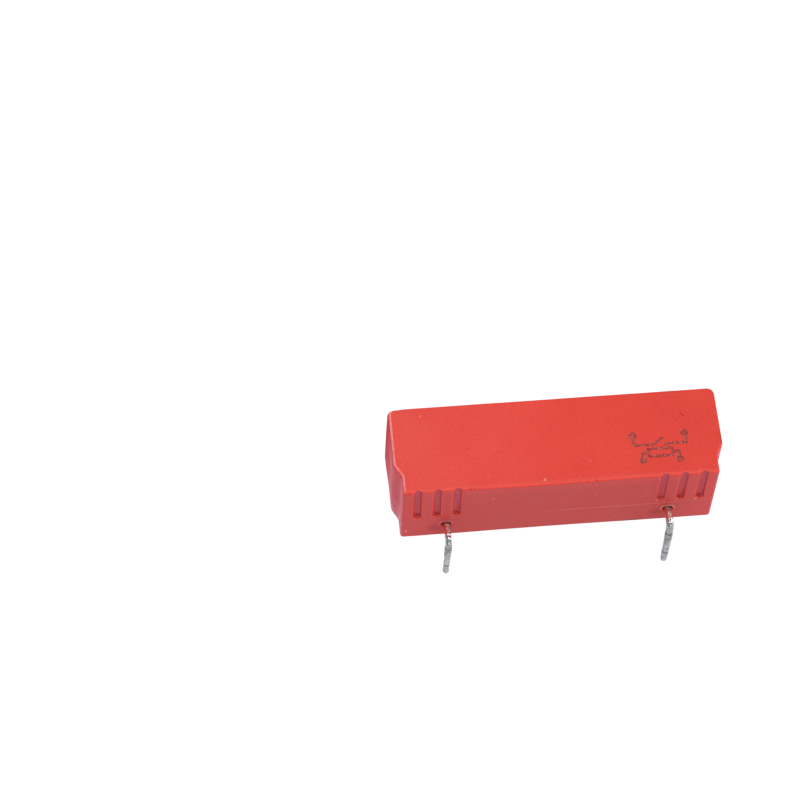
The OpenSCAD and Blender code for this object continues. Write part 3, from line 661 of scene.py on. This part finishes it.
def tinned(name, lumps=1.0):
    n = Nodes(name)
    cloud = n.noise(1.6, 4, 0.65, seed=5)
    grain = n.noise(7, 3, 0.65, seed=6)
    col = n.mix(n.ramp(cloud, 0.3, 0.7), (0.31, 0.305, 0.318), (0.50, 0.50, 0.525))
    dark = n.noise(3.2, 3, 0.6, seed=16, distort=0.8)
    col = n.mix(n.mul(n.ramp(dark, 0.55, 0.66), 0.75), col, (0.105, 0.088, 0.085))
    col = n.mix(n.mul(n.ramp(grain, 0.56, 0.68), 0.55), col, (0.12, 0.10, 0.10))
    if lumps == 1.0:
        # painted reflection of the red housing on the wire's run near the hole, strongest on its left side
        away = n.math("ABSOLUTE", n.y)
        inner = n.mul(n.ramp(n.z, 1.2, 1.7), n.mul(n.ramp(away, 5.95, 5.60), n.ramp(away, 3.6, 4.0)))
        col = n.mix(n.mul(inner, 0.80), col, n.mix(n.ramp(n.nx, 0.10, -0.35), (0.56, 0.40, 0.36), (0.98, 0.44, 0.36)))
        jig = n.mul(n.sub(n.noise(5, 2, 0.6, seed=64), 0.5), 0.16)
        for s, zs in ((-1, (0.98, -2.27)), (1, (0.80, -2.30))):
            for zc in zs:
                d = n.math("ABSOLUTE", n.add(n.sub(n.z, n.math("MULTIPLY_ADD", n.sub(n.x, s * COIL_X), -0.18, zc)), jig))
                d = n.mul(n.ramp(d, 0.15, 0.05), n.mul(n.ramp(n.mul(n.x, s), 8.0, 9.0), n.ramp(n.y, -5.0, -5.5)))
                col = n.mix(n.mul(d, 0.85), col, (0.07, 0.05, 0.048))
        patch = n.mul(n.ramp(n.z, -1.5, 0.3), n.ramp(n.noise(2.0, 3, 0.6, seed=67, distort=0.6), 0.42, 0.60, 0.12, 0.62))
        col = n.mix(n.mul(patch, n.ramp(n.z, 1.75, 1.5)), col, (0.135, 0.122, 0.120))
        # painted dark reflection: a dark patchy line down the left side of each leg
        stain = n.mul(n.ramp(n.nx, -0.55, -0.90), n.ramp(n.noise(2.3, 2, 0.6, seed=66), 0.35, 0.55, 0.35, 1.0))
        col = n.mix(n.mul(n.mul(stain, n.ramp(n.z, 1.7, 1.3)), 0.62), col, (0.075, 0.062, 0.066))
    run = n.ramp(n.z, 1.50, 1.62)
    # painted highlight on the lower curve of each bend, with painted shade on its top, darker on the right pin
    bend = n.mul(n.ramp(n.nz, 0.50, 0.60), n.ramp(n.math("ABSOLUTE", n.y), 5.50, 5.75))
    top = n.mix(n.ramp(n.x, -1.0, 1.0), (0.34, 0.33, 0.34), (0.13, 0.125, 0.13))
    bend_highlight_and_shade = n.mix(n.ramp(n.nz, 0.94, 0.86), top, (0.86, 0.85, 0.86))
    col = n.mix(n.mul(bend, n.ramp(dark, 0.68, 0.56, 0.30, 1.0)), col, bend_highlight_and_shade)
    rough = n.add(n.ramp(grain, 0.3, 0.7, 0.10, 0.24), n.add(n.mul(cloud, 0.10), n.mul(run, 0.12)))
    rough = n.mul(rough, n.ramp(bend, 0.0, 1.0, 1.0, 0.45))
    n.set(Base_Color=col, Roughness=rough, Metallic=1.0,
          Normal=n.bump(n.mul(n.add(n.mul(grain, 0.5), n.mul(dark, 1.3)), n.ramp(bend, 0.0, 1.0, 1.0, 0.35)), 0.06 * lumps))
    return n.mat


def metal(name, a, b, rough, scale=4.0):
    n = Nodes(name)
    cloud = n.noise(scale, 3, 0.6, seed=7)
    n.set(Base_Color=n.mix(n.ramp(cloud, 0.35, 0.7), a, b), Roughness=n.ramp(cloud, 0.3, 0.7, rough, rough + 0.15),
          Metallic=1.0, Normal=n.bump(cloud, 0.01))
    return n.mat


def winding():
    n = Nodes("winding")
    turn = n.math("FRACT", n.mul(n.x, 11.0))
    ridge = n.math("SINE", n.mul(turn, math.pi))
    shade = n.noise(1.2, 2, 0.5, seed=11)
    col = n.mix(n.ramp(shade, 0.3, 0.7), (0.42, 0.13, 0.04), (0.58, 0.22, 0.08))
    # painted shade: dark lines in the creases between the turns
    n.set(Base_Color=n.mix(n.mul(n.ramp(ridge, 0.0, 0.4, 1, 0), 0.6), col, (0.12, 0.03, 0.01)), Roughness=0.32,
          Metallic=0.7, Normal=n.bump(ridge, 0.03))
    return n.mat


def glass():
    n = Nodes("capsule_glass")
    c = n.noise(0.8, 2, 0.5, seed=14)
    n.set(Base_Color=n.mix(c, (0.80, 0.93, 0.84), (0.88, 0.97, 0.90)), Roughness=n.ramp(c, 0.3, 0.7, 0.02, 0.06),
          Normal=n.bump(c, 0.01))
    n.bsdf.inputs["Transmission Weight"].default_value = 0.95
    n.bsdf.inputs["IOR"].default_value = 1.5
    return n.mat


RED = red_plastic("housing_plastic", marked=True)
RED_IN = red_plastic("bobbin_plastic")
RESIN = resin()
TIN = tinned("pin_wire")
SOLDER = tinned("solder", 0.6)
REED = metal("reed_alloy", (0.56, 0.54, 0.50), (0.66, 0.64, 0.60), 0.28)
COPPER = metal("link_wire", (0.72, 0.36, 0.20), (0.83, 0.46, 0.28), 0.25)
WINDING = winding()
GLASS = glass()

for node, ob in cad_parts.items():
    mat = {"bobbin": RED_IN, "potting_resin": RESIN, "coil_winding": WINDING, "glass_capsule": GLASS,
           "housing": RED}.get(node)
    if mat is None:
        mat = (REED if node.startswith("reed") else COPPER if node.startswith("coil_link") else
               TIN if "pin" in node else SOLDER)
    ob.data.materials.clear()
    ob.data.materials.append(mat)


# ---------------------------------------------------------------- housing
def housing():
    half = [0.0, (5.9, 0.74), (6.2, 0.15), (6.5, 0.075), (7.7, 0.3), (8.3, 0.075), (8.8, 0.25), (11.58, 0.0713),
            (12.36, 0.195), (13.36, 0.0715), (14.05, 0.0865), (14.65, 0.075), (15.03, 0.0423)]
    xp = ticks(*half)
    xs = np.concatenate([-xp[:0:-1], xp])
    ys = ticks(YF - 0.06, (YF + 0.30, 0.045), (YF + 0.48, 0.06), (YF + 1.15, 0.096), (-1.15, 0.144), (YB - 1.2, 0.49),
               (YB - 0.3, 0.1), (YB + 0.06, 0.045))
    zs = ticks(-0.08, (0.24, 0.04), (1.0, 0.16), (2.8, 0.086), (3.0, 0.1), (3.2, 0.0286), (3.4, 0.1), (3.75, 0.0585),
               (7.25, 0.5), (7.55, 0.075), (8.1, 0.14), (8.36, 0.0326))
    verts, faces = surface_net(housing_field, xs, ys, zs,
                               lambda x, y: (poly_distance(x, y, OUT), poly_distance(x, y, CAV), poly_distance(x, y, LEDGE_PLAN)))
    verts = settle(verts, housing_field)
    ob = make("housing_shell", verts, faces, RED, weighted=True)
    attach(ob, "relay")
    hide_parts("housing")
    print("housing_shell", len(verts), "points", len(faces) * 2, "triangles")


housing()


# ---------------------------------------------------------------- resin surface
def notch_plan(x, y):
    """Distance to the four notches, seen from below."""
    d = np.full(x.shape, 1e3)
    for s in (-1, 1):
        cx, hw = s * FLANGE_X + sum(NOTCH) / 2, (NOTCH[1] - NOTCH[0]) / 2
        for a, b in ((YF + 0.2, YF + WALL_MID + 0.2), (YB - WALL_MID - 0.2, YB - 0.2)):
            d = np.minimum(d, np.maximum(np.abs(x - cx) - hw, np.abs(y - (a + b) / 2) - (b - a) / 2))
    return d


def resin_plan(x, y):
    cav = poly_distance(x, y, CAV)
    wall = -np.minimum(cav, notch_plan(x, y))
    level = 0.112 - 0.006 * wave(8, x, y, 7, 0.2, 1.6) - 0.028 * np.exp(-np.maximum(wall, 0) / 0.16)
    # lower in the notches, beside the lugs
    level = level + 0.16 * np.clip((cav + 0.06) / 0.12, 0, 1)
    for cx, cy, rx, ry, h in DROPS:
        level = level - h * np.exp(-(((x - cx) / rx) ** 2 + ((y - cy) / ry) ** 2) ** 1.5)
    return wall, level


def resin_field(x, y, z, plan=None):
    wall, level = resin_plan(x, y) if plan is None else plan
    return np.maximum(np.maximum(level - z, z - 0.42), 0.012 - wall)


def resin_surface():
    xs = ticks(-14.45, (-13.3, 0.06), (-8.2, 0.14), (-6.1, 0.055), (6.1, 0.2), (8.2, 0.055), (12.0, 0.14), (14.45, 0.06))
    ys = ticks(YF + 0.12, (YF + 1.6, 0.055), (YB - 1.4, 0.16), (YB - 0.12, 0.055))
    zs = ticks(0.0, (0.34, 0.03), (0.50, 0.08))
    verts, faces = surface_net(resin_field, xs, ys, zs, resin_plan)
    verts = settle(verts, resin_field, 2)
    ob = make("resin_surface", verts, faces, RESIN)
    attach(ob, "relay")
    print("resin_surface", len(verts), "points", len(faces) * 2, "triangles")


resin_surface()


# ---------------------------------------------------------------- pins
# folds in the solder, by height
CRACKS = {"coil_pin_left": (0.98, -2.27), "coil_pin_right": (0.80, -2.30)}


def tube_path(x, side, y_in, lean):
    """Centre line of a pin from its inner end to its tip, its foot leaning out by some degrees."""
    s = side
    pts = []
    lean = math.radians(lean)
    rise = (PIN_Z - BEND + BEND * math.sin(lean)) / math.cos(lean)
    y0 = s * (ROW_Y - BEND * math.cos(lean) - rise * math.sin(lean))
    run = abs(y0 - y_in)
    for t in np.linspace(0, 1, max(8, int(run / 0.08))):
        pts.append((y_in + (y0 - y_in) * t, PIN_Z))
    for a in np.linspace(0, math.pi / 2 - lean, 19)[1:]:
        pts.append((y0 + s * BEND * math.sin(a), PIN_Z - BEND + BEND * math.cos(a)))
    top, low = rise * math.cos(lean), PIN_LOW + 0.02 + 0.3 * math.sin(lean)
    for t in np.linspace(0, 1, 84)[1:]:
        z = top * (1 - t) + low * t
        pts.append((s * (ROW_Y - z * math.tan(lean)), z))
    return np.array([(x, y, z) for y, z in pts])


def pin(name, x, side, y_in, seed, lean=0.0, coat=((0, 0),), sway=0.0, foot=0.0):
    """coat: (height, extra radius) of the solder along the foot, from the tip up."""
    path = tube_path(x, side, y_in, lean)
    path[:, 0] += sway * np.clip((path[:, 2] + 3.9) / 3.9, 0, 1) ** 2 * np.clip((abs(path[:, 1]) - 4.0) / 0.5, 0, 1)
    path[:, 0] += foot * np.clip(-path[:, 2] / 3.9, 0, 1)
    tan = np.gradient(path, axis=0)
    tan /= np.linalg.norm(tan, axis=1)[:, None]
    along = np.concatenate([[0], np.cumsum(np.linalg.norm(np.diff(path, axis=0), axis=1))])
    total = along[-1]
    rng = np.random.default_rng(seed)
    k = 40
    start = abs(side * 4.6 - y_in)
    verts, rings = [], 0
    ang = np.linspace(0, 2 * math.pi, k, endpoint=False)
    ph = rng.uniform(0, 6.28, 12)
    for i, (p, t) in enumerate(zip(path, tan)):
        u = np.array([1.0, 0, 0])
        w = np.cross(t, u)
        left = total - along[i]
        s = along[i]
        r = PIN_R - 0.008 + np.interp(p[2], *zip(*coat)) * min(1, max(0, (s - start) / 0.25))
        if left < 0.2:
            q = 1 - left / 0.2
            r -= 0.19 * (1 - math.sqrt(max(0, 1 - q * q)))
        lump = (0.010 * np.sin(1.9 * s + ph[0] + ang) + 0.008 * np.sin(4.1 * s + ph[1] - 2 * ang)
                + 0.005 * np.sin(8.3 * s + ph[2] + 3 * ang) + 0.003 * np.sin(15 * s + ph[3] + 2 * ang)
                + 0.007 * np.sin(5.3 * s + ph[4]) * np.sin(2.2 * s + ph[5]))
        lump = lump * (0.10 + 0.90 * min(1, max(0, (s - start - 0.7) / 0.9)))
        for zc in CRACKS.get(name, ()):
            lump = lump - 0.022 * np.exp(-(((p[2] - zc - 0.05 * np.cos(ang)) / 0.05) ** 2))
        rr = r + lump
        ring = p + np.outer(rr * np.cos(ang), u) + np.outer(rr * np.sin(ang), w)
        lim = ROW_Y + PIN_R - 0.002
        ring[:, 1] = np.clip(ring[:, 1], -lim - 10 * (lean > 0), lim)
        verts.append(ring)
        rings += 1
    verts = np.concatenate(verts + [path[:1], path[-1:]])
    faces = []
    for i in range(rings - 1):
        for j in range(k):
            a, b = i * k + j, i * k + (j + 1) % k
            faces += [(a, b, b + k), (a, b + k, a + k)]
    c0, c1 = rings * k, rings * k + 1
    for j in range(k):
        faces.append((c0, (j + 1) % k, j))
        faces.append((c1, (rings - 1) * k + j, (rings - 1) * k + (j + 1) % k))
    faces = np.array(faces)
    # faces outwards
    v = verts[faces]
    vol = np.einsum("ij,ij->i", v[:, 0] - path[0], np.cross(v[:, 1] - path[0], v[:, 2] - path[0])).sum()
    if vol < 0:
        faces = faces[:, ::-1]
    ob = make(name + "_wire", verts, faces, TIN)
    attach(ob, "relay")
    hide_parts(name)


for s, word in ((-1, "left"), (1, "right")):
    pin("switch_pin_" + word, s * SWITCH_X, 1, YM - 0.4, 21 + s)
pin("coil_pin_left", -COIL_X, -1, YM - 2.95 + 0.7, 10, 0.0, ((-4, 0.0), (-0.9, 0.004), (-0.2, 0.045), (1.0, 0.05), (1.75, 0.0), (1.9, 0.0)), 0.055)
# this one leans a little less than the bare wire, so that its solder stays within the part's size
pin("coil_pin_right", COIL_X, -1, YM - 2.95 + 0.7, 12, COIL_LEAN - 0.6,
    ((-4, 0.028), (-2.7, 0.036), (-1.3, 0.055), (0.4, 0.078), (1.3, 0.06), (1.75, 0.05), (1.9, 0.05)), 0.0, -0.085)


# ---------------------------------------------------------------- floor and light
def floor():
    n = Nodes("floor")
    n.set(Base_Color=n.mix(n.ramp(n.noise(0.01, 2), 0.3, 0.7), (0.05, 0.05, 0.05), (0.06, 0.06, 0.06)), Roughness=0.9,
          Normal=n.bump(n.noise(0.2, 2, seed=2), 0.05))
    n.bsdf.inputs["Specular IOR Level"].default_value = 0.0
    n.bsdf.inputs["Emission Color"].default_value = (0.97, 0.98, 1.0, 1)
    n.bsdf.inputs["Emission Strength"].default_value = 1.03
    v = [(-2000, -2000, PIN_LOW), (2000, -2000, PIN_LOW), (2000, 2000, PIN_LOW), (-2000, 2000, PIN_LOW)]
    ob = make("floor", v, [(0, 1, 2, 3)], n.mat, smooth=False)


floor()


def area(name, loc, size, power, colour=(1, 1, 1), tall=None):
    """Soft lamp that faces the part: round, or an ellipse where tall is its height."""
    li = bpy.data.lights.new(name, "AREA")
    li.shape, li.size = "ELLIPSE" if tall else "DISK", size
    if tall:
        li.size_y = tall
    li.energy, li.color = power, colour
    ob = bpy.data.objects.new(name, li)
    ob.location = loc
    ob.rotation_euler = (-Vector(loc)).to_track_quat("-Z", "Y").to_euler()
    bpy.context.scene.collection.objects.link(ob)


area("key", (0.430, -0.010, 0.255), 0.16, 1.15, (1.0, 0.985, 0.96))
area("top", (0.0, -0.03, 0.52), 0.42, 1.56, (1.0, 1.0, 1.0))
area("side", (-0.275, 0.205, 0.300), 0.10, 0.46, (0.90, 0.95, 1.0))
area("front", (0.12, -0.39, 0.21), 0.28, 0.145, (1.0, 0.985, 0.96), 0.17)

world = bpy.data.worlds.new("world")
bpy.context.scene.world = world
world.use_nodes = True
world.node_tree.nodes["Background"].inputs[0].default_value = (0.90, 0.95, 1.0, 1)
world.node_tree.nodes["Background"].inputs[1].default_value = 0.24

bpy.context.scene.view_settings.view_transform = "Standard"
bpy.context.scene.view_settings.look = "None"
